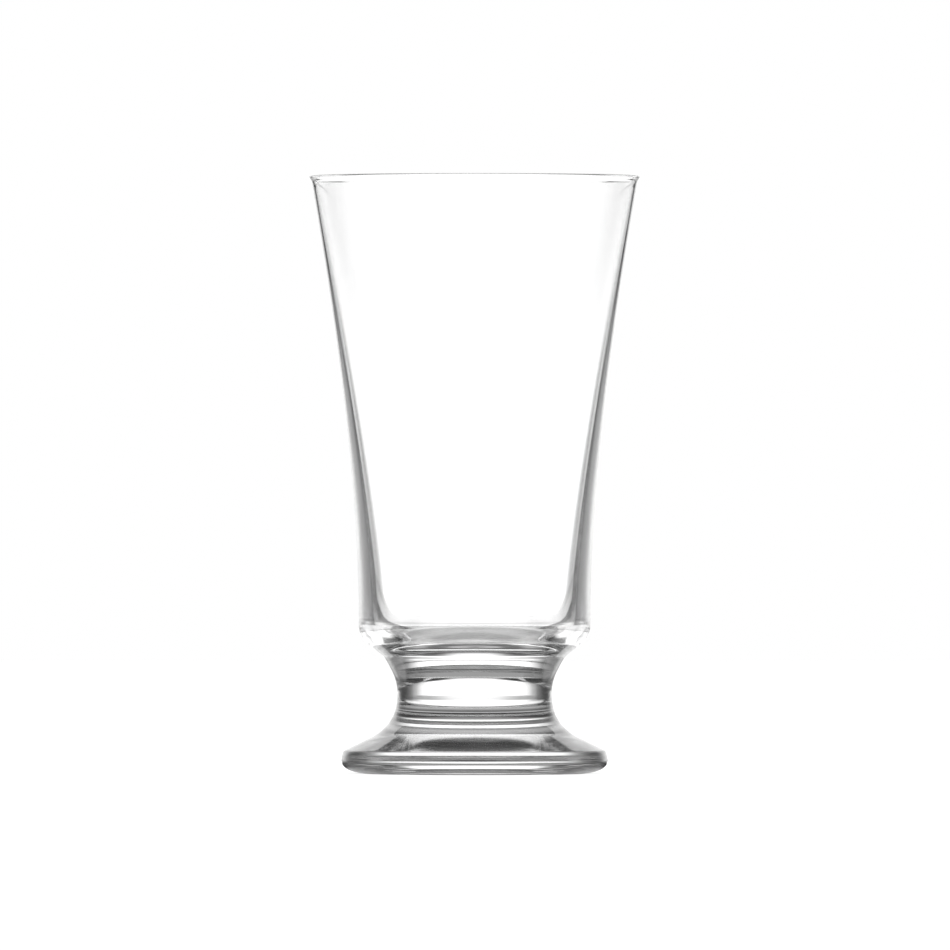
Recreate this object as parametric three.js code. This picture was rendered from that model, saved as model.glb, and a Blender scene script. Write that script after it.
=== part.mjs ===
// Footed water goblet in clear glass: a flared bowl, a short waisted stem and a thick round foot.
// The three are shaped apart and fused hot, each on a flat round joint face.
// Millimetres, +Z up. The origin is the centre of the flat face that the foot stands on.

import * as THREE from "three";

// Heights of the three pieces, from joint face to joint face
const FOOT_HEIGHT = 9.4;
const STEM_HEIGHT = 18.76;
const BOWL_HEIGHT = 115.84;

// Joint faces, each shared by the two pieces that are fused there
const FOOT_JOINT_RADIUS = 23.82;
const BOWL_JOINT_RADIUS = 21.77;

// Foot
const FOOT_RADIUS = 32.15;
const FOOT_BELLY_HEIGHT = 3.1;
const FOOT_EDGE_HEIGHT = 5.6;
const FOOT_EDGE_INSET = 0.57;
const FOOT_UNDERCUT = 6.4;

// Stem
const WAIST_RADIUS = 18.685;
const WAIST_HEIGHT = 9.68;

// Flares of the stem: how long each one follows the upright at the waist and its own slope at the joint,
// and that slope, measured from the upright
const LOWER_FLARE_HUG = 5.64;
const LOWER_FLARE_PULL = 2.91;
const LOWER_FLARE_SLOPE = THREE.MathUtils.degToRad(53.9);
const UPPER_FLARE_HUG = 4.12;
const UPPER_FLARE_PULL = 3.87;
const UPPER_FLARE_SLOPE = THREE.MathUtils.degToRad(27.1);

// Bowl, outside
const RIM_RADIUS = 40.0;
const BOWL_BASE_RADIUS = 28.0;
const BOWL_KNEE_HEIGHT = 49.44;
const SHOULDER_ANGLE = THREE.MathUtils.degToRad(38.4);
const SHOULDER_ROUND = 5.2;

// Bowl, wall and cavity
const RIM_WALL = 0.9;
const KNEE_WALL = 1.8;
const BASE_WALL = 3.67;
const FLOOR_THICKNESS = 3.6;
const CORNER_WIDTH = 7.2;
const CORNER_HEIGHT = 4.6;
const CORNER_START = THREE.MathUtils.degToRad(2.6);

// Fire-polished bead along the rim
const BEAD_LIP = 0.63;
const BEAD_WIDTH = 1.35;
const BEAD_HEIGHT = 1.45;
const BEAD_CROWN = 0.45;

// Fineness of the turned surfaces
const SEGMENTS_ROUND = 60;
const STEPS_PER_CURVE = 6;
const STEPS_PER_FLARE = 9;
const STEPS_PER_WALL = 12;

const GLASS_COLOUR = 0xeef2f1;
const GLASS_ROUGHNESS = 0.03;
const GLASS_OPACITY = 0.35;

// A profile of radius against height, drawn from the axis out and back to the axis.
class Profile {
  constructor(startHeight) {
    this.points = [new THREE.Vector2(0, startHeight)];
  }

  line(radius, height) {
    this.points.push(new THREE.Vector2(radius, height));
    return this;
  }

  // A parabola that leaves along the line to the knee and arrives along the line from it.
  bend(knee, end, steps = STEPS_PER_CURVE) {
    const curve = new THREE.QuadraticBezierCurve(this.points.at(-1), knee, end);
    this.points.push(...curve.getPoints(steps).slice(1));
    return this;
  }

  // A curve that leaves along the line to the first guide and arrives along the line from the second.
  sweep(firstGuide, secondGuide, end, steps = STEPS_PER_CURVE) {
    const curve = new THREE.CubicBezierCurve(this.points.at(-1), firstGuide, secondGuide, end);
    this.points.push(...curve.getPoints(steps).slice(1));
    return this;
  }

  // An arc of an ellipse, from one angle to another about its centre.
  arc(centre, halfWidth, halfHeight, from, to, steps = STEPS_PER_CURVE) {
    const clockwise = to < from;
    const curve = new THREE.EllipseCurve(centre.x, centre.y, halfWidth, halfHeight, from, to, clockwise);
    this.points.push(...curve.getPoints(steps).slice(1));
    return this;
  }

  backToAxis(height) {
    return this.line(0, height);
  }
}

// One glass solid turned from a profile, standing on +Z.
function turned(name, profile) {
  const geometry = new THREE.LatheGeometry(profile.points, SEGMENTS_ROUND);
  geometry.rotateX(Math.PI / 2);
  const material = new THREE.MeshStandardMaterial({
    color: GLASS_COLOUR,
    roughness: GLASS_ROUGHNESS,
    metalness: 0,
    transparent: true,
    opacity: GLASS_OPACITY,
  });
  const mesh = new THREE.Mesh(geometry, material);
  mesh.name = name;
  return mesh;
}

// The foot: flat underneath, with a full round edge and a conical top.
function makeFoot() {
  const restRadius = FOOT_RADIUS - FOOT_UNDERCUT;
  const edgeRadius = FOOT_RADIUS - FOOT_EDGE_INSET;
  const bellyKnee = (FOOT_BELLY_HEIGHT + FOOT_EDGE_HEIGHT) / 2;
  const profile = new Profile(0)
    .line(restRadius, 0)
    .arc(new THREE.Vector2(restRadius, FOOT_BELLY_HEIGHT), FOOT_UNDERCUT, FOOT_BELLY_HEIGHT, -Math.PI / 2, 0)
    .bend(new THREE.Vector2(FOOT_RADIUS, bellyKnee), new THREE.Vector2(edgeRadius, FOOT_EDGE_HEIGHT))
    .line(FOOT_JOINT_RADIUS, FOOT_HEIGHT)
    .backToAxis(FOOT_HEIGHT);
  return turned("foot", profile);
}

// The stem: a solid spool, narrowest at the waist and flared to the joint face at each end.
function makeStem() {
  const waist = new THREE.Vector2(WAIST_RADIUS, WAIST_HEIGHT);
  const lowerGuide = new THREE.Vector2(
    FOOT_JOINT_RADIUS - LOWER_FLARE_PULL * Math.sin(LOWER_FLARE_SLOPE),
    LOWER_FLARE_PULL * Math.cos(LOWER_FLARE_SLOPE),
  );
  const upperGuide = new THREE.Vector2(
    BOWL_JOINT_RADIUS - UPPER_FLARE_PULL * Math.sin(UPPER_FLARE_SLOPE),
    STEM_HEIGHT - UPPER_FLARE_PULL * Math.cos(UPPER_FLARE_SLOPE),
  );
  const underWaist = new THREE.Vector2(WAIST_RADIUS, WAIST_HEIGHT - LOWER_FLARE_HUG);
  const overWaist = new THREE.Vector2(WAIST_RADIUS, WAIST_HEIGHT + UPPER_FLARE_HUG);
  const profile = new Profile(0)
    .line(FOOT_JOINT_RADIUS, 0)
    .sweep(lowerGuide, underWaist, waist, STEPS_PER_FLARE)
    .sweep(overWaist, upperGuide, new THREE.Vector2(BOWL_JOINT_RADIUS, STEM_HEIGHT), STEPS_PER_FLARE)
    .backToAxis(STEM_HEIGHT);
  return turned("stem", profile);
}

// The bowl: a conical shoulder over the joint face, a wall that flares and thins towards the rim,
// a rounded bead along the rim, and a cavity with a rounded corner and a flat floor.
function makeBowl() {
  const coneRise = (BOWL_BASE_RADIUS - BOWL_JOINT_RADIUS) * Math.tan(SHOULDER_ANGLE);
  const coneLength = coneRise / Math.sin(SHOULDER_ANGLE);
  const halfTurn = (Math.PI / 2 - SHOULDER_ANGLE) / 2;
  const round = Math.min(SHOULDER_ROUND, (coneLength * 0.9) / Math.tan(halfTurn));
  const roundCentre = new THREE.Vector2(BOWL_BASE_RADIUS - round, coneRise + round * Math.tan(halfTurn));

  const wallTop = BOWL_HEIGHT - BEAD_HEIGHT;
  const wallRadius = RIM_RADIUS - BEAD_LIP;
  const crownBase = BOWL_HEIGHT - BEAD_CROWN;
  const crownCentre = new THREE.Vector2(RIM_RADIUS - BEAD_WIDTH / 2, crownBase);

  const cavityRadius = BOWL_BASE_RADIUS - BASE_WALL;
  const cornerCentre = new THREE.Vector2(cavityRadius - CORNER_WIDTH, FLOOR_THICKNESS + CORNER_HEIGHT);
  const cornerTop = new THREE.Vector2(
    cornerCentre.x + CORNER_WIDTH * Math.cos(CORNER_START),
    cornerCentre.y - CORNER_HEIGHT * Math.sin(CORNER_START),
  );

  const profile = new Profile(0)
    .line(BOWL_JOINT_RADIUS, 0)
    .line(
      roundCentre.x + round * Math.sin(SHOULDER_ANGLE),
      roundCentre.y - round * Math.cos(SHOULDER_ANGLE),
    )
    .arc(roundCentre, round, round, SHOULDER_ANGLE - Math.PI / 2, 0)
    .bend(
      new THREE.Vector2(BOWL_BASE_RADIUS, BOWL_KNEE_HEIGHT),
      new THREE.Vector2(wallRadius, wallTop),
      STEPS_PER_WALL,
    )
    .line(RIM_RADIUS, crownBase)
    .arc(crownCentre, BEAD_WIDTH / 2, BEAD_CROWN, 0, Math.PI)
    .line(wallRadius - RIM_WALL, wallTop)
    .bend(
      new THREE.Vector2(BOWL_BASE_RADIUS - KNEE_WALL, BOWL_KNEE_HEIGHT),
      cornerTop,
      STEPS_PER_WALL,
    )
    .arc(cornerCentre, CORNER_WIDTH, CORNER_HEIGHT, -CORNER_START, -Math.PI / 2)
    .backToAxis(FLOOR_THICKNESS);
  return turned("bowl", profile);
}

const goblet = new THREE.Group();
goblet.name = "water_goblet";

const foot = makeFoot();
goblet.add(foot);

const stem = makeStem();
stem.position.z = FOOT_HEIGHT;
goblet.add(stem);

const bowl = makeBowl();
bowl.position.z = FOOT_HEIGHT + STEM_HEIGHT;
goblet.add(bowl);

export default goblet;
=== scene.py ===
"""Looks of a clear glass water goblet: bowl, waisted stem and round foot, fused into one.

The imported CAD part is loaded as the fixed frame. Each of its three solids is replaced by a finer
turned surface of the same sizes, with the small fillets that hot glass has where two gathers meet.
Sizes are in millimetres in the classes below and in metres in the scene.
"""

from __future__ import annotations

import logging
import math
from dataclasses import dataclass, field
from enum import Enum
from typing import Any

import bpy
import numpy as np
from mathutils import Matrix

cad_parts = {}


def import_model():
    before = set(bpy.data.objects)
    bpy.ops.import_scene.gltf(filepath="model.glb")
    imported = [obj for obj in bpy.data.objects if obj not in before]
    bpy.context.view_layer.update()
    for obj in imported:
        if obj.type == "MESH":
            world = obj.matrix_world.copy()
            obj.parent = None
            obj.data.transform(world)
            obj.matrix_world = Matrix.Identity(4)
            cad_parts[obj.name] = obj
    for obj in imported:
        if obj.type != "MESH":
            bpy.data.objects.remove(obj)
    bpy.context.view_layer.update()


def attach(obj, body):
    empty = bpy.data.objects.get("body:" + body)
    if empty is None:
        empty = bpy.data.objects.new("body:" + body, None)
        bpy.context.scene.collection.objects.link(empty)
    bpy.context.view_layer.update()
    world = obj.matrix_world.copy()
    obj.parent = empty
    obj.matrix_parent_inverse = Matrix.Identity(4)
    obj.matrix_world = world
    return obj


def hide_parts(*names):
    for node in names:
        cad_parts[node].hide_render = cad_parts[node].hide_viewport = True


LOG = logging.getLogger("goblet")

MM = 0.001
BODY = "root"

# Pairs of a place along a ramp and the level there
Stops = tuple[tuple[float, float], ...]

# Radius and height of a point on a profile
Point = tuple[float, float]

# Facets round the axis of every turned surface, and its two vertices on the axis
SEGMENTS = 192
POLES = 2

# Points nearer than this, in millimetres, are one point
SAME_POINT_MM = 1e-6

# Rows of points on the runs of the profile
FLAT_ROWS = 12
FOOT_EDGE_ROWS = 36
FOOT_BEND_ROWS = 16
FOOT_CONE_ROWS = 16
FLARE_ROWS = 44
SHOULDER_CONE_ROWS = 14
SHOULDER_ROUND_ROWS = 28
WALL_ROWS = 72
CORNER_ROWS = 40
BEAD_SIDE_ROWS = 8
BEAD_CROWN_ROWS = 24
BEAD_FILLET_ROWS = 8
FILLET_ROWS = 12

# Input and output sockets of a Mix node set to colours
MIX_SHARE, MIX_FIRST, MIX_SECOND, MIX_RESULT = 0, 6, 7, 2

# Light turns many times inside solid glass before it leaves
GLASS_BOUNCES = 32


def linear(colour: str) -> tuple[float, float, float, float]:
    """Turns an sRGB hex colour into the linear RGBA that shaders take.

    Args:
        colour: Six hex digits after a hash sign.

    Returns:
        Red, green and blue in linear light, and an alpha of 1.
    """
    channels = np.array([int(colour[i : i + 2], 16) for i in (1, 3, 5)]) / 255
    low, high = channels / 12.92, ((channels + 0.055) / 1.055) ** 2.4
    return (*np.where(channels <= 0.04045, low, high).tolist(), 1.0)


def add_node(tree: Any, kind: str, inputs: dict[Any, Any] | None = None, **settings: Any) -> Any:
    """Adds one node, sets its properties, and fills or links its inputs.

    Args:
        tree: The node tree that the node goes into.
        kind: The node's class name.
        inputs: Values or output sockets by input name or number.
        **settings: Properties of the node itself.

    Returns:
        The new node.
    """
    node = tree.nodes.new(kind)
    for name, value in settings.items():
        setattr(node, name, value)
    for key, value in (inputs or {}).items():
        if isinstance(value, bpy.types.NodeSocket):
            tree.links.new(value, node.inputs[key])
        else:
            node.inputs[key].default_value = value
    return node


def computed(tree: Any, operation: str, *values: Any) -> Any:
    """Adds a Math node and gives its result's socket."""
    return add_node(tree, "ShaderNodeMath", dict(enumerate(values)), operation=operation).outputs[0]


def mixed(tree: Any, share: Any, first: Any, second: Any) -> Any:
    """Adds a Mix node that goes from the first colour to the second, and gives its result's socket."""
    parts = {MIX_SHARE: share, MIX_FIRST: first, MIX_SECOND: second}
    return add_node(tree, "ShaderNodeMix", parts, data_type="RGBA").outputs[MIX_RESULT]


def grey(level: float) -> tuple[float, float, float, float]:
    """A neutral colour of one level in linear light."""
    return level, level, level, 1.0


def levels(tree: Any, share: Any, span: tuple[float, float], stops: Stops) -> Any:
    """Adds a ramp of grey levels.

    Args:
        tree: The node tree that the ramp goes into.
        share: Socket that runs from 0 to 1 along the ramp.
        span: What the two ends of the ramp stand for.
        stops: Pairs of place and level.

    Returns:
        The ramp's colour socket.
    """
    node = add_node(tree, "ShaderNodeValToRGB", {"Fac": share})
    elements = node.color_ramp.elements
    while len(elements) < len(stops):
        elements.new(1.0)
    low, high = span
    for element, (place, level) in zip(elements, stops):
        element.position = (place - low) / (high - low)
        element.color = grey(level)
    return node.outputs["Color"]


def levels_by_angle(tree: Any, angle: Any, span: tuple[float, float], stops: Stops) -> Any:
    """Adds a ramp of grey levels against an angle.

    Args:
        tree: The node tree that the ramp goes into.
        angle: Socket that gives the angle in radians.
        span: The angles in degrees that the two ends of the ramp stand for.
        stops: Pairs of degrees and level.

    Returns:
        The ramp's colour socket.
    """
    low, high = (math.radians(end) for end in span)
    share = add_node(tree, "ShaderNodeMapRange", {"Value": angle, "From Min": low, "From Max": high})
    return levels(tree, share.outputs["Result"], span, stops)


def compass_side(tree: Any, direction: Any) -> Any:
    """Adds the angle to either side of straight behind the goblet, from 0 to pi, and gives its socket."""
    split = add_node(tree, "ShaderNodeSeparateXYZ", {0: direction}).outputs
    return computed(tree, "ABSOLUTE", computed(tree, "ARCTAN2", split["X"], split["Y"]))


def empty_material(name: str) -> tuple[bpy.types.Material, bpy.types.NodeTree]:
    """Makes a material without nodes, and gives it with its node tree."""
    material = bpy.data.materials.new(name)
    material.use_nodes = True
    material.node_tree.nodes.clear()
    return material, material.node_tree


def straight(start: Point, end: Point, rows: int) -> np.ndarray:
    """A straight run of a profile: start + t (end - start).

    Args:
        start: Radius and height where it starts.
        end: Radius and height where it ends.
        rows: Number of points.

    Returns:
        Points as rows of radius and height.
    """
    t = np.linspace(0, 1, rows)[:, None]
    return np.asarray(start) * (1 - t) + np.asarray(end) * t


def parabola(start: Point, knee: Point, end: Point, rows: int) -> np.ndarray:
    """A bend of a profile: (1-t)^2 start + 2 t (1-t) knee + t^2 end.

    Args:
        start: Radius and height where it starts.
        knee: Where the tangents at both ends cross.
        end: Radius and height where it ends.
        rows: Number of points.

    Returns:
        Points as rows of radius and height.
    """
    t = np.linspace(0, 1, rows)[:, None]
    return (1 - t) ** 2 * np.asarray(start) + 2 * t * (1 - t) * np.asarray(knee) + t**2 * np.asarray(end)


def sweep(start: Point, guides: tuple[Point, Point], end: Point, rows: int) -> np.ndarray:
    """A flare of a profile: (1-t)^3 start + 3 t (1-t)^2 g0 + 3 t^2 (1-t) g1 + t^3 end.

    Args:
        start: Radius and height where it starts.
        guides: Where the tangents at the start and at the end point to.
        end: Radius and height where it ends.
        rows: Number of points.

    Returns:
        Points as rows of radius and height.
    """
    t = np.linspace(0, 1, rows)[:, None]
    near, far = (np.asarray(guide) for guide in guides)
    ends = (1 - t) ** 3 * np.asarray(start) + t**3 * np.asarray(end)
    return ends + 3 * t * (1 - t) ** 2 * near + 3 * t**2 * (1 - t) * far


def ellipse(centre: Point, half: tuple[float, float], turn: tuple[float, float], rows: int) -> np.ndarray:
    """An arc of an ellipse: centre + (a cos u, b sin u).

    Args:
        centre: Radius and height of its centre.
        half: Half width a and half height b.
        turn: First and last angle u, in radians.
        rows: Number of points.

    Returns:
        Points as rows of radius and height.
    """
    u = np.linspace(*turn, rows)
    return np.c_[centre[0] + half[0] * np.cos(u), centre[1] + half[1] * np.sin(u)]


def joined(*runs: np.ndarray) -> np.ndarray:
    """Runs laid end to end, each point that repeats the one before it left out."""
    points = np.vstack(runs)
    step = np.linalg.norm(np.diff(points, axis=0), axis=1)
    return points[np.r_[True, step > SAME_POINT_MM]]


def length_along(profile: np.ndarray) -> np.ndarray:
    """The length of the profile from its start to each of its points."""
    return np.r_[0, np.cumsum(np.linalg.norm(np.diff(profile, axis=0), axis=1))]


def softened(profile: np.ndarray, corner: Point, reach: float, rows: int = FILLET_ROWS) -> np.ndarray:
    """Rounds one corner of a profile, as surface tension rounds hot glass.

    The points nearer the corner than the reach, measured along the profile, give way to a parabola
    that has its knee on the corner.

    Args:
        profile: Points as rows of radius and height.
        corner: Radius and height of the corner.
        reach: How far along the profile the rounding starts on either side.
        rows: Number of points on the rounding.

    Returns:
        The profile with that corner rounded.
    """
    along = length_along(profile)
    middle = along[np.argmin(np.linalg.norm(profile - np.asarray(corner), axis=1))]
    low, high = middle - reach, middle + reach
    start, end = (
        tuple(float(np.interp(place, along, profile[:, k])) for k in (0, 1)) for place in (low, high)
    )
    return joined(profile[along < low], parabola(start, corner, end, rows), profile[along > high])


def outward(profile: np.ndarray) -> np.ndarray:
    """Unit normals of a profile: its tangent turned a quarter to the right, upright on the axis.

    Args:
        profile: Points as rows of radius and height, from under the foot to the cavity floor.

    Returns:
        Normals as rows of radial and upward parts.
    """
    along = length_along(profile)
    tangent = np.c_[np.gradient(profile[:, 0], along), np.gradient(profile[:, 1], along)]
    normal = np.c_[tangent[:, 1], -tangent[:, 0]]
    normal[profile[:, 0] < SAME_POINT_MM, 0] = 0
    return normal / np.linalg.norm(normal, axis=1, keepdims=True)


class Cap(Enum):
    """What closes the end of a piece's skin on the axis."""

    SKIN = 0
    FUSED = 1


def turned(
    name: str, skin: np.ndarray, normals: np.ndarray, bottom: Cap, top: Cap, materials: list[Any]
) -> bpy.types.Object:
    """Turns a skin about the axis into a closed mesh.

    A point (r, z) of the skin becomes a ring (r cos u, r sin u, z). A fan of triangles closes each end.

    Args:
        name: Name of the piece.
        skin: Profile as rows of radius and height in millimetres, upwards on the outside.
        normals: Unit normal of each row.
        bottom: What closes the first row.
        top: What closes the last row.
        materials: The materials of the skin and of a fused joint face, in the order of Cap.

    Returns:
        The new object, at the origin, in metres.
    """
    rings, ring_normals = skin, normals
    poles = np.array([[0, 0, skin[0, 1]], [0, 0, skin[-1, 1]]])
    if bottom is Cap.SKIN:
        rings, ring_normals = rings[1:], ring_normals[1:]
    if top is Cap.SKIN:
        rings, ring_normals = rings[:-1], ring_normals[:-1]
    u = np.linspace(0, 2 * np.pi, SEGMENTS, endpoint=False)
    wheel = np.stack([np.cos(u), np.sin(u)], axis=-1)

    def swept(rows: np.ndarray) -> np.ndarray:
        """Rows of (radial, upward) carried round the axis, as (x, y, z)."""
        flat = rows[:, None, :1] * wheel[None]
        return np.concatenate([flat, np.repeat(rows[:, None, 1:], SEGMENTS, axis=1)], axis=-1).reshape(-1, 3)

    vertices = np.vstack([swept(rings), poles]) * MM
    vertex_normals = np.vstack([swept(ring_normals), [[0, 0, -1], [0, 0, 1]]])
    column = np.arange(SEGMENTS)
    following = (column + 1) % SEGMENTS
    row = np.arange(len(rings) - 1)[:, None] * SEGMENTS
    above = row + SEGMENTS
    quads = np.stack([row + column, row + following, above + following, above + column], axis=-1)
    last = (len(rings) - 1) * SEGMENTS
    pole = np.full(SEGMENTS, len(vertices) - POLES)
    low_fan = np.stack([pole, following, column], axis=-1)
    high_fan = np.stack([pole + 1, last + column, last + following], axis=-1)

    mesh = bpy.data.meshes.new(name)
    faces = quads.reshape(-1, 4).tolist() + low_fan.tolist() + high_fan.tolist()
    mesh.from_pydata(vertices.tolist(), [], faces)
    for material in materials:
        mesh.materials.append(material)
    count = quads.shape[0] * SEGMENTS
    slots = np.r_[
        np.zeros(count, dtype=np.int32),
        np.full(SEGMENTS, bottom.value, dtype=np.int32),
        np.full(SEGMENTS, top.value, dtype=np.int32),
    ]
    mesh.polygons.foreach_set("material_index", slots)
    mesh.polygons.foreach_set("use_smooth", np.ones(len(slots), dtype=bool))
    mesh.update()
    mesh.normals_split_custom_set_from_vertices(vertex_normals.tolist())
    piece = bpy.data.objects.new(name, mesh)
    bpy.context.scene.collection.objects.link(piece)
    return piece


# Mesh attribute with the grazing angle, from 0 to 1 as Layer Weight's Facing gives it, from which on a ray
# stays inside the wall of the bowl and the base colour takes painted shade. A mesh without the attribute
# reads as 0.
SHADE_EDGE_ATTRIBUTE = "painted_shade_start"

# Its values on a thick wall, on a thin one, and where no wall is seen edge-on
THICK_EDGE = 0.5
THIN_EDGE = 0.78
NO_EDGE = 0.999

# The blend at which Layer Weight's Facing is 1 less the cosine of the grazing angle
PLAIN_FACING = 0.5


@dataclass(frozen=True)
class SodaLimeGlass:
    """Colourless soda-lime glass, with a faint ripple left by the mould and a polish that varies slightly.

    The stops give the painted shade in its base colour, from where the edge of the wall begins (0) to the
    outline (1).
    """

    name: str
    smooth: float
    dull: float
    thick_shade_stops: Stops
    thin_shade_stops: Stops
    ior: float = 1.52
    ripple_mm: float = 14.0
    ripple_height_mm: float = 0.002
    ripple_detail: float = 1.0
    ripple_roughness: float = 0.3
    haze_mm: float = 30.0
    haze_detail: float = 3.0
    haze_span: tuple[float, float] = (0.35, 0.75)

    def edge_shaded_colour(self, tree: bpy.types.NodeTree) -> Any:
        """Adds the base colour with painted shade, which darkens it towards the outline of the wall, standing
        in for the dark lines and the light lost where it runs far inside the glass.

        Args:
            tree: Node tree of the material.

        Returns:
            The colour's socket.
        """
        edge = add_node(tree, "ShaderNodeAttribute", attribute_name=SHADE_EDGE_ATTRIBUTE).outputs["Fac"]
        facing = add_node(tree, "ShaderNodeLayerWeight", {"Blend": PLAIN_FACING}).outputs["Facing"]
        share = add_node(tree, "ShaderNodeMapRange", {"Value": facing, "From Min": edge, "From Max": 1.0})
        # Painted shade: grey levels laid into the base colour by how near the outline the surface is seen
        thick, thin = (
            levels(tree, share.outputs["Result"], (0, 1), stops)
            for stops in (self.thick_shade_stops, self.thin_shade_stops)
        )
        span = {"From Min": THICK_EDGE, "From Max": THIN_EDGE}
        thinness = add_node(tree, "ShaderNodeMapRange", {"Value": edge, **span})
        return mixed(tree, thinness.outputs["Result"], thick, thin)

    def material(self) -> bpy.types.Material:
        """Builds the material.

        Clear and smooth gives the eye sharp refraction, dark lines where the wall is seen edge-on, deepened
        by the painted shade in the base colour, and clean reflections. The ripple bends those lines a little,
        and a duller polish softens them.

        Returns:
            The material.
        """
        material, tree = empty_material(self.name)
        place = add_node(tree, "ShaderNodeTexCoord").outputs["Object"]
        ripple = add_node(
            tree,
            "ShaderNodeTexNoise",
            {
                "Vector": place,
                "Scale": 1 / (self.ripple_mm * MM),
                "Detail": self.ripple_detail,
                "Roughness": self.ripple_roughness,
            },
        )
        bump = add_node(
            tree,
            "ShaderNodeBump",
            {"Height": ripple.outputs["Fac"], "Strength": 1.0, "Distance": self.ripple_height_mm * MM},
        )
        haze = add_node(
            tree,
            "ShaderNodeTexNoise",
            {"Vector": place, "Scale": 1 / (self.haze_mm * MM), "Detail": self.haze_detail},
        )
        low, high = self.haze_span
        spread = {"From Min": low, "From Max": high, "To Min": self.smooth, "To Max": self.dull}
        polish = add_node(tree, "ShaderNodeMapRange", {"Value": haze.outputs["Fac"], **spread})
        glass = add_node(
            tree,
            "ShaderNodeBsdfPrincipled",
            {
                # The base colour carries the painted shade at the edges
                "Base Color": self.edge_shaded_colour(tree),
                "IOR": self.ior,
                "Transmission Weight": 1.0,
                "Roughness": polish.outputs["Result"],
                "Normal": bump.outputs["Normal"],
            },
        )
        add_node(tree, "ShaderNodeOutputMaterial", {"Surface": glass.outputs["BSDF"]})
        return material


# The bowl, polished in the flame: a mirror-smooth wall, with a crisp dark line of painted shade along its
# inner edge
FIRE_POLISHED = SodaLimeGlass(
    name="fire_polished_glass_with_painted_shade",
    smooth=0.0,
    dull=0.02,
    thick_shade_stops=((0, 1.0), (0.02, 0.15), (0.09, 0.2), (0.18, 0.75), (0.4, 0.72), (0.65, 0.45), (1, 0.3)),
    thin_shade_stops=((0, 1.0), (0.02, 0.03), (1, 0.02)),
)

# Stem and foot, which keep the softer surface of the press mould: blurred lines, and sides darkened with
# painted shade
PRESSED = SodaLimeGlass(
    name="pressed_glass_with_painted_shade",
    smooth=0.04,
    dull=0.08,
    thick_shade_stops=((0, 1.0), (0.3, 1.0), (0.42, 0.7), (0.6, 0.4), (1, 0.3)),
    thin_shade_stops=((0, 1.0), (1, 1.0)),
)


@dataclass(frozen=True)
class FusedJoint:
    """The face where two gathers of glass were fused hot: no boundary is left, so it can't be seen."""

    name: str = "fused_glass_joint"

    def material(self) -> bpy.types.Material:
        """Builds the material: light passes straight through, as it does inside one body of glass."""
        material, tree = empty_material(self.name)
        clear = add_node(tree, "ShaderNodeBsdfTransparent")
        add_node(tree, "ShaderNodeOutputMaterial", {"Surface": clear.outputs["BSDF"]})
        return material


@dataclass
class Foot:
    """The thick round foot, from its flat underside to the joint with the stem."""

    height: float = 9.4
    joint_radius: float = 23.82
    radius: float = 32.15
    belly_height: float = 3.1
    edge_height: float = 5.6
    edge_inset: float = 0.57
    undercut: float = 6.4
    edge_round: float = 0.25

    @property
    def edge(self) -> Point:
        """Radius and height of the upper edge, where the conical top starts."""
        return self.radius - self.edge_inset, self.edge_height

    def skin(self) -> np.ndarray:
        """The profile from the axis underneath, round the edge and up the conical top."""
        rest = self.radius - self.undercut
        half = (self.undercut, self.belly_height)
        belly = (self.radius, self.belly_height)
        knee = (self.radius, (self.belly_height + self.edge_height) / 2)
        profile = joined(
            straight((0, 0), (rest, 0), FLAT_ROWS),
            ellipse((rest, self.belly_height), half, (-math.pi / 2, 0), FOOT_EDGE_ROWS),
            parabola(belly, knee, self.edge, FOOT_BEND_ROWS),
            straight(self.edge, (self.joint_radius, self.height), FOOT_CONE_ROWS),
        )
        return softened(profile, self.edge, self.edge_round)


@dataclass
class Stem:
    """The short solid spool between foot and bowl."""

    base: float
    base_radius: float
    height: float = 18.76
    joint_radius: float = 21.77
    waist_radius: float = 18.685
    waist_height: float = 9.68
    lower_hug: float = 5.64
    lower_pull: float = 2.91
    lower_slope: float = 53.9
    upper_hug: float = 4.12
    upper_pull: float = 3.87
    upper_slope: float = 27.1

    @property
    def top(self) -> float:
        """Height of the joint with the bowl."""
        return self.base + self.height

    def skin(self) -> np.ndarray:
        """The profile from the foot's joint, in to the waist and out to the bowl's joint."""
        waist = (self.waist_radius, self.base + self.waist_height)
        low, high = math.radians(self.lower_slope), math.radians(self.upper_slope)
        near_foot = (
            self.base_radius - self.lower_pull * math.sin(low),
            self.base + self.lower_pull * math.cos(low),
        )
        under_waist = (self.waist_radius, waist[1] - self.lower_hug)
        over_waist = (self.waist_radius, waist[1] + self.upper_hug)
        near_bowl = (
            self.joint_radius - self.upper_pull * math.sin(high),
            self.top - self.upper_pull * math.cos(high),
        )
        return joined(
            sweep((self.base_radius, self.base), (near_foot, under_waist), waist, FLARE_ROWS),
            sweep(waist, (over_waist, near_bowl), (self.joint_radius, self.top), FLARE_ROWS),
        )


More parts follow.
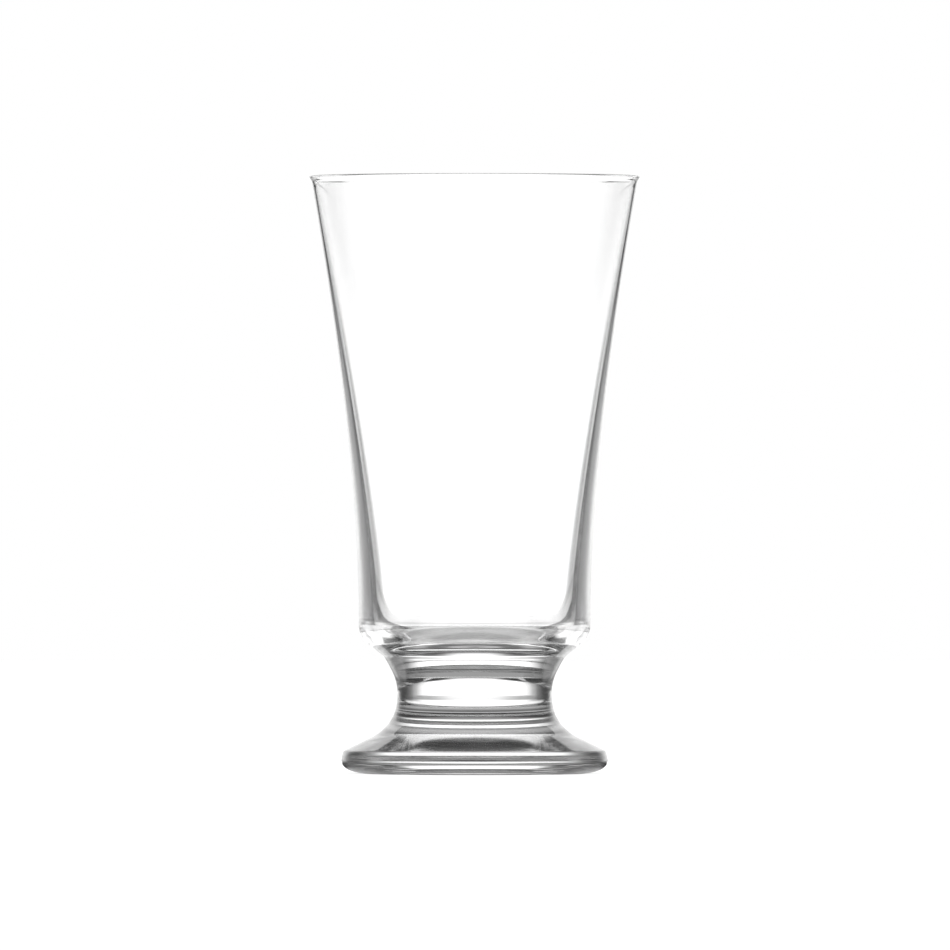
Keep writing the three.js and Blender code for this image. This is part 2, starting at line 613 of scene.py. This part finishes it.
@dataclass
class Bowl:
    """The flared bowl: conical shoulder, thinning wall, rim bead and flat-floored cavity."""

    base: float
    base_radius: float
    height: float = 115.84
    rim_radius: float = 40.0
    lower_radius: float = 28.0
    knee_height: float = 49.44
    shoulder_angle: float = 38.4
    shoulder_round: float = 5.2
    rim_wall: float = 0.9
    knee_wall: float = 1.8
    lower_wall: float = 3.67
    floor_thickness: float = 3.6
    corner_width: float = 7.2
    corner_height: float = 4.6
    corner_start: float = 2.6
    bead_lip: float = 0.63
    bead_width: float = 1.35
    bead_height: float = 1.45
    bead_crown: float = 0.45
    bead_round: float = 0.3
    # Grazing angle at which the wall's edge, and the painted shade on it, begin, by height: the thinner the
    # wall, the nearer the outline
    painted_shade_start: Stops = (
        (33.8, NO_EDGE),
        (35.1, 0.14),
        (36.5, 0.306),
        (38.2, 0.378),
        (41.8, 0.443),
        (51.5, 0.473),
        (75.6, 0.582),
        (104.5, 0.72),
        (133.4, 0.8),
        (142.5, 0.8),
    )

    def mark_shade_edge(self, piece: bpy.types.Object, skin: np.ndarray) -> None:
        """Notes on the outside of the bowl at which grazing angle the edge of the wall, and its painted
        shade, begin.

        Args:
            piece: The bowl's object.
            skin: The profile that it was turned from.
        """
        outside = np.arange(len(skin)) <= np.argmax(skin[:, 1])
        heights, edges = np.array(self.painted_shade_start).T
        rows = np.where(outside, np.interp(skin[:, 1], heights, edges), NO_EDGE)
        values = np.full(len(piece.data.vertices), NO_EDGE, dtype=np.float32)
        count = len(values) - POLES
        values[:count] = np.repeat(rows, SEGMENTS)[:count]
        piece.data.attributes.new(SHADE_EDGE_ATTRIBUTE, "FLOAT", "POINT").data.foreach_set("value", values)

    def outside(self) -> np.ndarray:
        """The profile from the stem's joint, round the shoulder and up to the bead."""
        angle = math.radians(self.shoulder_angle)
        reach = self.shoulder_round * math.tan((math.pi / 2 - angle) / 2)
        rise = (self.lower_radius - self.base_radius) * math.tan(angle)
        centre = (self.lower_radius - self.shoulder_round, self.base + rise + reach)
        cone_end = (
            centre[0] + self.shoulder_round * math.sin(angle),
            centre[1] - self.shoulder_round * math.cos(angle),
        )
        half = (self.shoulder_round, self.shoulder_round)
        knee = (self.lower_radius, self.base + self.knee_height)
        return joined(
            straight((self.base_radius, self.base), cone_end, SHOULDER_CONE_ROWS),
            ellipse(centre, half, (angle - math.pi / 2, 0), SHOULDER_ROUND_ROWS),
            parabola((self.lower_radius, centre[1]), knee, self.wall_top, WALL_ROWS),
        )

    def bead(self) -> np.ndarray:
        """The profile over the fire-polished bead along the rim, its corners rounded."""
        crown = self.base + self.height - self.bead_crown
        half = (self.bead_width / 2, self.bead_crown)
        profile = joined(
            straight(self.wall_top, (self.rim_radius, crown), BEAD_SIDE_ROWS),
            ellipse((self.rim_radius - half[0], crown), half, (0, math.pi), BEAD_CROWN_ROWS),
            straight((self.rim_radius - self.bead_width, crown), self.cavity_top, BEAD_SIDE_ROWS),
        )
        for radius in (self.rim_radius, self.rim_radius - self.bead_width):
            profile = softened(profile, (radius, crown), self.bead_round, BEAD_FILLET_ROWS)
        return profile

    def cavity(self) -> np.ndarray:
        """The profile from the bead down the inner wall, round the corner and along the flat floor."""
        floor = self.base + self.floor_thickness
        centre = (self.lower_radius - self.lower_wall - self.corner_width, floor + self.corner_height)
        half = (self.corner_width, self.corner_height)
        corner = ellipse(centre, half, (-math.radians(self.corner_start), -math.pi / 2), CORNER_ROWS)
        knee = (self.lower_radius - self.knee_wall, self.base + self.knee_height)
        return joined(
            parabola(self.cavity_top, knee, tuple(corner[0]), WALL_ROWS),
            corner,
            straight((centre[0], floor), (0, floor), FLAT_ROWS),
        )

    @property
    def wall_top(self) -> Point:
        """Radius and height where the outside of the wall meets the bead."""
        return self.rim_radius - self.bead_lip, self.base + self.height - self.bead_height

    @property
    def cavity_top(self) -> Point:
        """Radius and height where the inside of the wall meets the bead."""
        return self.wall_top[0] - self.rim_wall, self.wall_top[1]

    def skin(self) -> np.ndarray:
        """The profile from the stem's joint, up the outside, over the bead and down to the cavity floor."""
        profile = joined(self.outside(), self.bead(), self.cavity())
        for corner in (self.wall_top, self.cavity_top):
            profile = softened(profile, corner, self.bead_round, BEAD_FILLET_ROWS)
        return profile


@dataclass
class Goblet:
    """The three pieces, their joints and their finish."""

    foot: Foot = field(default_factory=Foot)
    joint_round: float = 0.6

    def __post_init__(self) -> None:
        """Stands the stem on the foot and the bowl on the stem."""
        self.stem = Stem(self.foot.height, self.foot.joint_radius)
        self.bowl = Bowl(self.stem.top, self.stem.joint_radius)

    def runs(self) -> list[tuple[np.ndarray, np.ndarray]]:
        """Draws the whole profile, rounds the joints, and cuts it at the joint heights.

        Returns:
            Profile and normals of foot, stem and bowl, each run ending on the joint that it shares.
        """
        joints = [
            (self.foot.joint_radius, self.foot.height),
            (self.stem.joint_radius, self.stem.top),
        ]
        profile = joined(self.foot.skin(), self.stem.skin(), self.bowl.skin())
        for joint in joints:
            profile = softened(profile, joint, self.joint_round)
        cuts = []
        for _, height in joints:
            after = int(np.argmax(profile[:, 1] > height + SAME_POINT_MM))
            radii, heights = profile[after - 1 : after + 1].T
            radius = np.interp(height, heights, radii)
            profile = np.insert(profile, after, (radius, height), axis=0)
            profile = joined(profile)
            cuts.append(int(np.argmin(np.linalg.norm(profile - (radius, height), axis=1))))
        normals = outward(profile)
        ends = [0, *cuts, len(profile) - 1]
        return [(profile[a : b + 1], normals[a : b + 1]) for a, b in zip(ends[:-1], ends[1:])]

    def build(self) -> list[bpy.types.Object]:
        """Builds the three pieces and dresses them in glass.

        Returns:
            Foot, stem and bowl.
        """
        polished, pressed, fused = (finish.material() for finish in (FIRE_POLISHED, PRESSED, FusedJoint()))
        plan = {
            "foot": (Cap.SKIN, Cap.FUSED, pressed),
            "stem": (Cap.FUSED, Cap.FUSED, pressed),
            "bowl": (Cap.FUSED, Cap.SKIN, polished),
        }
        pieces = []
        for (node, (bottom, top, glass)), (skin, normals) in zip(plan.items(), self.runs()):
            piece = turned(f"glass_{node}", skin, normals, bottom, top, [glass, fused])
            if glass is polished:
                self.bowl.mark_shade_edge(piece, skin)
            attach(piece, BODY)
            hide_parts(node)
            LOG.info("%s: %d faces", piece.name, len(piece.data.polygons))
            pieces.append(piece)
        return pieces


@dataclass(frozen=True)
class Belt:
    """One belt of the surroundings: where it lies above the horizon, and its level round the compass.

    The compass angle is counted to either side from straight behind the goblet. The edges of a bowed
    belt rise and fall away from the horizon towards the sides.
    """

    upright: Stops
    across: Stops
    bowed: bool = False


# Level round the sides and behind the camera, the same in every belt: dark, with a dim lamp over each
# shoulder of the camera
SIDES: Stops = ((60, 0.04), (126, 0.04), (132, 0.3), (158, 0.3), (166, 0.06), (180, 0.04))

# A tall white window behind the goblet, with a sharp top
WINDOW = Belt(
    upright=((-30, 0.0), (-26, 1.0), (30.7, 1.0), (31.3, 0.0)),
    across=((0, 1.3), (14, 1.45), (26, 1.45), (33, 0.95), (38, 0.5), (45, 0.25), (52, 0.1), *SIDES),
    bowed=True,
)

# The table close behind the goblet, lit along the middle
CLOSE_TABLE = Belt(
    upright=((-62, 0.0), (-52, 1.0), (-28, 1.0), (-25, 0.0)),
    across=((0, 1.3), (9, 1.25), (14, 0.9), (18, 0.5), (24, 0.3), (42, 0.22), (50, 0.15), *SIDES),
)

# The table farther off, which falls away in brightness towards the sides
FAR_TABLE = Belt(
    upright=((-10, 0.0), (-8.5, 1.0), (-5.0, 1.0), (-4.5, 0.0)),
    across=((0, 1.3), (12, 1.0), (18, 0.75), (24, 0.56), (30, 0.43), (37, 0.32), (44, 0.22), *SIDES),
)

# The far edge of the table, with a dark card on either side of the window
TABLE_EDGE = Belt(
    upright=((-5.0, 0.0), (-4.5, 1.0), (-2.4, 1.0), (-1.9, 0.0)),
    across=((0, 1.7), (12, 1.6), (15, 0.5), (17, 0.1), (23, 0.06), (27, 0.3), (38, 0.35), (45, 0.25), *SIDES),
)


@dataclass(frozen=True)
class Pane:
    """A white pane with soft edges on either side of the goblet, so that the glass looks clear from there."""

    upright: Stops
    across: Stops
    level: float = 1.15


# Seen through the goblet by someone who looks down over a corner, from the side, or from behind
CORNER_PANE = Pane(
    upright=((-40, 0.0), (-33, 1.0), (-17, 1.0), (-11, 0.0)),
    across=((32, 0.0), (38, 1.0), (53, 1.0), (60, 0.0)),
)
SIDE_PANE = Pane(
    upright=((-18, 0.0), (-12, 1.0), (7, 1.0), (13, 0.0)),
    across=((72, 0.0), (79, 1.0), (101, 1.0), (108, 0.0)),
)
BACK_PANE = Pane(
    upright=((-32, 0.0), (-25, 1.0), (-5, 1.0), (1, 0.0)),
    across=((117, 0.0), (124, 1.0), (146, 1.0), (153, 0.0)),
)


# Degrees above the horizon from straight down to straight up, and round the compass from behind to before
UPRIGHT_SPAN = (-90, 90)
ACROSS_SPAN = (0, 180)

WHITE = "#FFFFFF"


@dataclass
class Studio:
    """A white table in a dark room, with a tall white window behind the goblet and white panes round it.

    The dark between window and panes gives clear glass its dark edges.
    """

    floor_size_m: float = 6.0
    floor_colour: str = "#F2F2F2"
    floor_glow: float = 0.8
    lamp_height_m: float = 1.2
    lamp_size_m: float = 1.0
    lamp_watts: float = 6.0
    # Share of its height by which a bowed belt is drawn in at the sides
    bow: float = 0.5
    # Level of the room by degrees above the horizon, where no belt covers it
    room: Stops = (
        (-90, 0.1),
        (-62, 0.1),
        (-48, 0.04),
        (44, 0.04),
        (50, 0.15),
        (58, 0.35),
        (90, 0.35),
    )
    belts: tuple[Belt, ...] = (WINDOW, CLOSE_TABLE, FAR_TABLE, TABLE_EDGE)
    panes: tuple[Pane, ...] = (CORNER_PANE, SIDE_PANE, BACK_PANE)
    # The table as seen through the glass, by millimetres from the axis: painted light and painted shadow,
    # rings of light such as the goblet gathers under its foot and its shadow round them, and how far out they
    # cover the rest
    painted_ring_levels: Stops = (
        (0, 0.02),
        (1.2, 0.03),
        (2.2, 0.4),
        (3.0, 0.15),
        (4.5, 0.5),
        (7.0, 0.5),
        (8.0, 0.2),
        (13, 0.12),
        (15, 0.15),
        (17, 0.5),
        (19, 0.5),
        (24, 0.15),
        (27, 0.1),
        (28.2, 0.6),
        (31, 0.6),
        (32.2, 0.04),
        (52, 0.04),
    )
    near_cover: Stops = ((0, 1.0), (40, 1.0), (52, 0.0))
    # Where the far table is seen, by millimetres from the axis and by compass angle
    far_cover: Stops = ((200, 0.0), (236, 1.0), (540, 1.0), (600, 0.0))
    far_across: Stops = ((0, 1.0), (29, 1.0), (36, 0.0), (180, 0.0))
    seen_reach_mm: float = 600.0
    # How far under the table's face it lies
    seen_depth_mm: float = 0.1

    def build(self) -> None:
        """Makes the floor, the lamp and the world."""
        self.light_tent()
        self.floor()
        self.table_through_glass()
        self.lamp()

    def light_tent(self) -> None:
        """Lights the world by direction, both sides alike. The camera itself sees white."""
        world = bpy.data.worlds.new("light_tent")
        bpy.context.scene.world = world
        world.use_nodes = True
        tree = world.node_tree
        tree.nodes.clear()
        direction = add_node(tree, "ShaderNodeTexCoord").outputs["Generated"]
        side = compass_side(tree, direction)
        height = add_node(tree, "ShaderNodeSeparateXYZ", {0: direction}).outputs["Z"]
        tilt = computed(tree, "ARCSINE", height)
        ahead = computed(tree, "ABSOLUTE", computed(tree, "COSINE", side))
        drawn_in = computed(tree, "MULTIPLY_ADD", ahead, self.bow, 1 - self.bow)
        bowed_tilt = computed(tree, "MULTIPLY", tilt, drawn_in)
        bowed_side = computed(tree, "MULTIPLY", side, computed(tree, "COSINE", tilt))
        tent = levels_by_angle(tree, tilt, UPRIGHT_SPAN, self.room)
        for belt in self.belts:
            share = levels_by_angle(tree, bowed_tilt if belt.bowed else tilt, UPRIGHT_SPAN, belt.upright)
            level = levels_by_angle(tree, bowed_side if belt.bowed else side, ACROSS_SPAN, belt.across)
            tent = mixed(tree, share, tent, level)
        for pane in self.panes:
            upright = levels_by_angle(tree, tilt, UPRIGHT_SPAN, pane.upright)
            across = levels_by_angle(tree, side, ACROSS_SPAN, pane.across)
            tent = mixed(tree, computed(tree, "MULTIPLY", upright, across), tent, grey(pane.level))
        seen = add_node(tree, "ShaderNodeLightPath").outputs["Is Camera Ray"]
        colour = mixed(tree, seen, tent, linear(WHITE))
        light = add_node(tree, "ShaderNodeBackground", {"Color": colour})
        add_node(tree, "ShaderNodeOutputWorld", {"Surface": light.outputs["Background"]})

    def floor(self) -> None:
        """Lays the white table: it glows for the camera so that it reads white, and takes a soft shadow."""
        half = self.floor_size_m / 2
        mesh = bpy.data.meshes.new("table")
        corners = [(-half, -half, 0), (half, -half, 0), (half, half, 0), (-half, half, 0)]
        mesh.from_pydata(corners, [], [(0, 1, 2, 3)])
        # Matt paint: plain white, with nothing mirrored in it
        material, tree = empty_material("matt_white_table")
        matt = add_node(tree, "ShaderNodeBsdfDiffuse", {"Color": linear(self.floor_colour)})
        seen = add_node(tree, "ShaderNodeLightPath").outputs["Is Camera Ray"]
        glow = add_node(
            tree, "ShaderNodeEmission", {"Strength": computed(tree, "MULTIPLY", seen, self.floor_glow)}
        )
        both = add_node(tree, "ShaderNodeAddShader", {0: matt.outputs[0], 1: glow.outputs[0]})
        add_node(tree, "ShaderNodeOutputMaterial", {"Surface": both.outputs[0]})
        mesh.materials.append(material)
        table = bpy.data.objects.new("table", mesh)
        bpy.context.scene.collection.objects.link(table)
        table.visible_glossy = False
        table.visible_transmission = False

    def table_through_glass(self) -> None:
        """Lays what is seen of the table through the glass, just under the table itself.

        It glows with painted light and painted shadow in place of the light that the goblet bends on to the
        table, and shows only through glass.
        """
        u = np.linspace(0, 2 * np.pi, SEGMENTS, endpoint=False)
        radius = self.seen_reach_mm * MM
        rim = np.c_[radius * np.cos(u), radius * np.sin(u), np.full(SEGMENTS, -self.seen_depth_mm * MM)]
        mesh = bpy.data.meshes.new("table_through_glass")
        mesh.from_pydata(rim.tolist(), [], [list(range(SEGMENTS))])
        # Painted light: glowing rings of painted light and shadow under the foot, and a painted lit strip
        # behind
        material, tree = empty_material("painted_light_under_glass")
        place = add_node(tree, "ShaderNodeTexCoord").outputs["Object"]
        reach = add_node(tree, "ShaderNodeVectorMath", {0: place}, operation="LENGTH").outputs["Value"]
        share = computed(tree, "DIVIDE", reach, radius)
        side = compass_side(tree, place)
        span = (0, self.seen_reach_mm)
        rings, near, far = (
            levels(tree, share, span, stops) for stops in (self.painted_ring_levels, self.near_cover, self.far_cover)
        )
        strip = levels_by_angle(tree, side, ACROSS_SPAN, FAR_TABLE.across)
        middle = levels_by_angle(tree, side, ACROSS_SPAN, self.far_across)
        cover = computed(tree, "MULTIPLY_ADD", far, middle, near)
        # Painted light and shadow, as a glow that shows only through the glass
        glow = add_node(tree, "ShaderNodeEmission", {"Color": mixed(tree, far, rings, strip)})
        clear = add_node(tree, "ShaderNodeBsdfTransparent")
        both = add_node(tree, "ShaderNodeMixShader", {0: cover, 1: clear.outputs[0], 2: glow.outputs[0]})
        add_node(tree, "ShaderNodeOutputMaterial", {"Surface": both.outputs[0]})
        mesh.materials.append(material)
        seen = bpy.data.objects.new("table_through_glass", mesh)
        bpy.context.scene.collection.objects.link(seen)
        seen.visible_camera = seen.visible_diffuse = seen.visible_shadow = False

    def lamp(self) -> None:
        """Hangs one large soft lamp overhead, for the shadow on the table."""
        data = bpy.data.lights.new("softbox", "AREA")
        data.size = self.lamp_size_m
        data.energy = self.lamp_watts
        lamp = bpy.data.objects.new("softbox", data)
        lamp.location = (0, 0, self.lamp_height_m)
        lamp.visible_camera = lamp.visible_glossy = lamp.visible_transmission = False
        bpy.context.scene.collection.objects.link(lamp)


@dataclass(frozen=True)
class PhotoCamera:
    """The photograph's view: level, from far off, aimed at the middle of the goblet's height."""

    distance_m: float = 5.0
    frame_px: int = 950
    mm_per_px: float = 0.24076
    axis_px: float = 474.55
    base_px: float = 773.6
    sensor_mm: float = 36.0
    clip_end_m: float = 20.0

    def build(self) -> None:
        """Makes the camera and hands it to the scene."""
        data = bpy.data.cameras.new("photo_camera")
        camera = bpy.data.objects.new("photo_camera", data)
        middle = self.frame_px / 2
        aside = (middle - self.axis_px) * self.mm_per_px * MM
        height = (self.base_px - middle) * self.mm_per_px * MM
        camera.location = (aside, -self.distance_m, height)
        camera.rotation_euler = (math.pi / 2, 0, 0)
        data.sensor_width = self.sensor_mm
        data.lens = self.sensor_mm * self.distance_m / (self.frame_px * self.mm_per_px * MM)
        data.clip_end = self.clip_end_m
        bpy.context.scene.collection.objects.link(camera)
        bpy.context.scene.camera = camera


def main() -> None:
    """Loads the frame, builds the goblet round it, and sets up the studio and the camera."""
    logging.basicConfig(level=logging.INFO, format="%(message)s")
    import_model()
    Goblet().build()
    Studio().build()
    PhotoCamera().build()
    scene = bpy.context.scene
    scene.view_settings.view_transform = "Standard"
    scene.cycles.max_bounces = GLASS_BOUNCES
    scene.cycles.glossy_bounces = GLASS_BOUNCES
    scene.cycles.transmission_bounces = GLASS_BOUNCES
    scene.cycles.transparent_max_bounces = GLASS_BOUNCES


if __name__ == "__main__":
    main()
